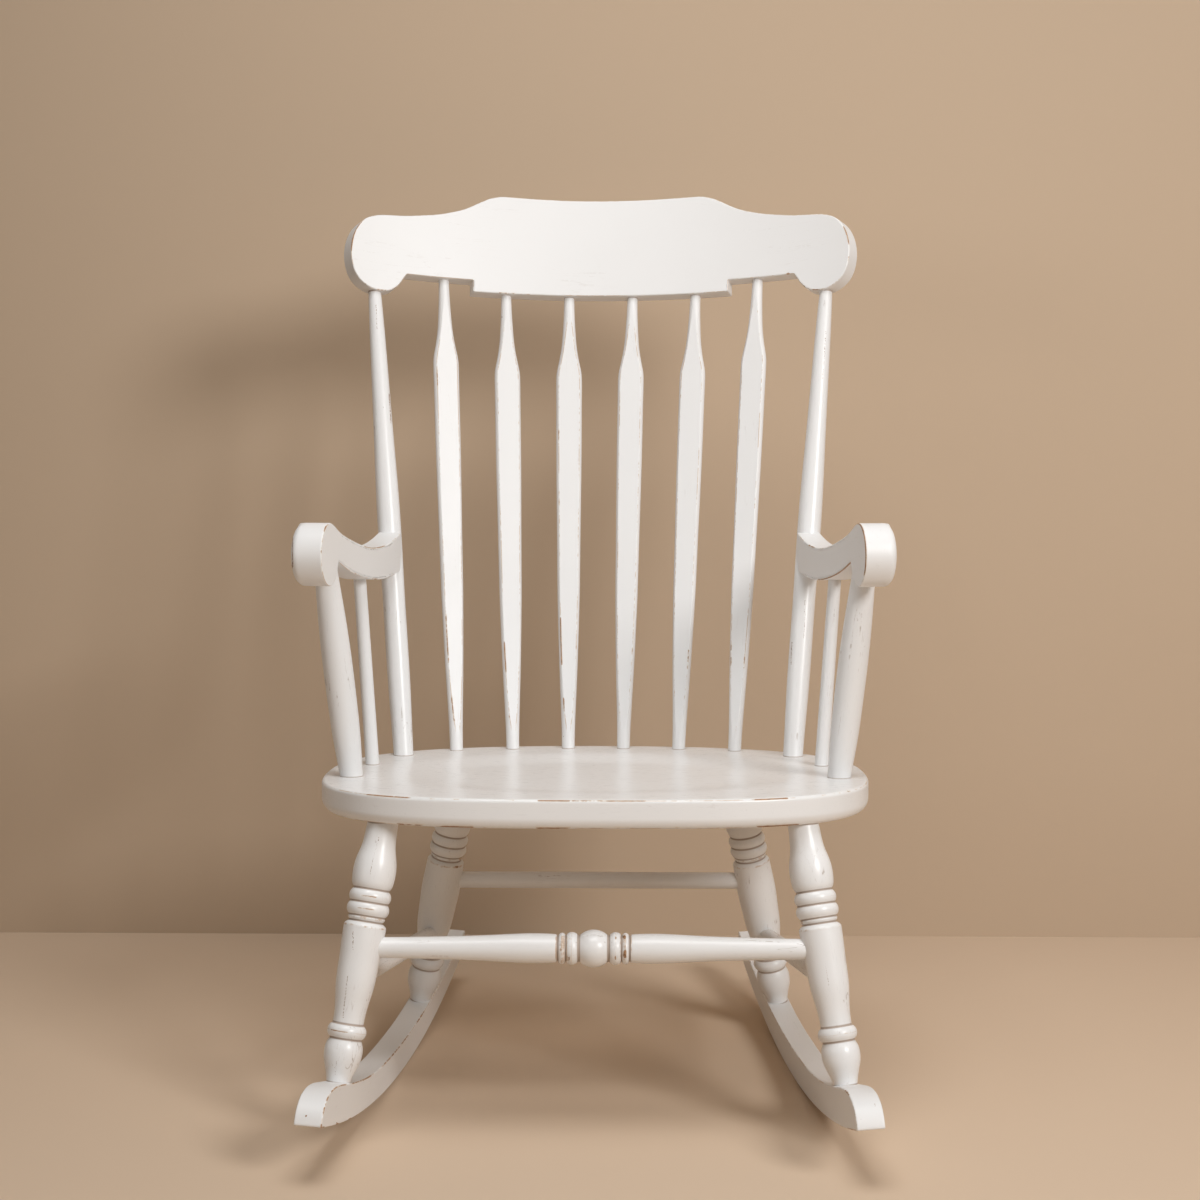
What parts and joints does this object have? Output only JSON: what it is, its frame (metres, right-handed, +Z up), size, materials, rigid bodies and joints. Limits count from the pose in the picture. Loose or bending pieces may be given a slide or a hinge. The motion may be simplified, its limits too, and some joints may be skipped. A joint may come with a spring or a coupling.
{
  "type": "rocking chair",
  "caption": "Wooden rocking chair with a shaped crest rail over arrow spindles, scrolled arms on turned posts, a dished oval seat and turned legs on bent runners.",
  "frame": {"origin": "on the floor, under the middle of the chair's width and length", "axes": "+Z up; the sitter faces -Y; +X is the chair's right side as seen from the front"},
  "size_m": [0.6474, 0.7564, 1.0505],
  "materials": {
    "painted_wood": "warm white paint, satin, rubbed through to brown wood along the edges",
    "screw_steel": "dull"
  },
  "bodies": {
    "root": {"seat": "painted_wood", "crest_rail": "painted_wood", "arrow_spindle_1": "painted_wood", "arrow_spindle_2": "painted_wood", "arrow_spindle_3": "painted_wood", "arrow_spindle_4": "painted_wood", "arrow_spindle_5": "painted_wood", "arrow_spindle_6": "painted_wood", "back_post_left": "painted_wood", "back_post_right": "painted_wood", "arm_left": "painted_wood", "arm_right": "painted_wood", "arm_post_left": "painted_wood", "arm_post_right": "painted_wood", "arm_spindle_left": "painted_wood", "arm_spindle_right": "painted_wood", "leg_front_left": "painted_wood", "leg_front_right": "painted_wood", "leg_rear_left": "painted_wood", "leg_rear_right": "painted_wood", "rocker_left": "painted_wood", "rocker_right": "painted_wood", "side_stretcher_left": "painted_wood", "side_stretcher_right": "painted_wood", "front_stretcher": "painted_wood", "rear_stretcher": "painted_wood", "crest_pins": "painted_wood", "rocker_pins": "painted_wood", "arm_screws": "screw_steel"}
  },
  "joints": []
}
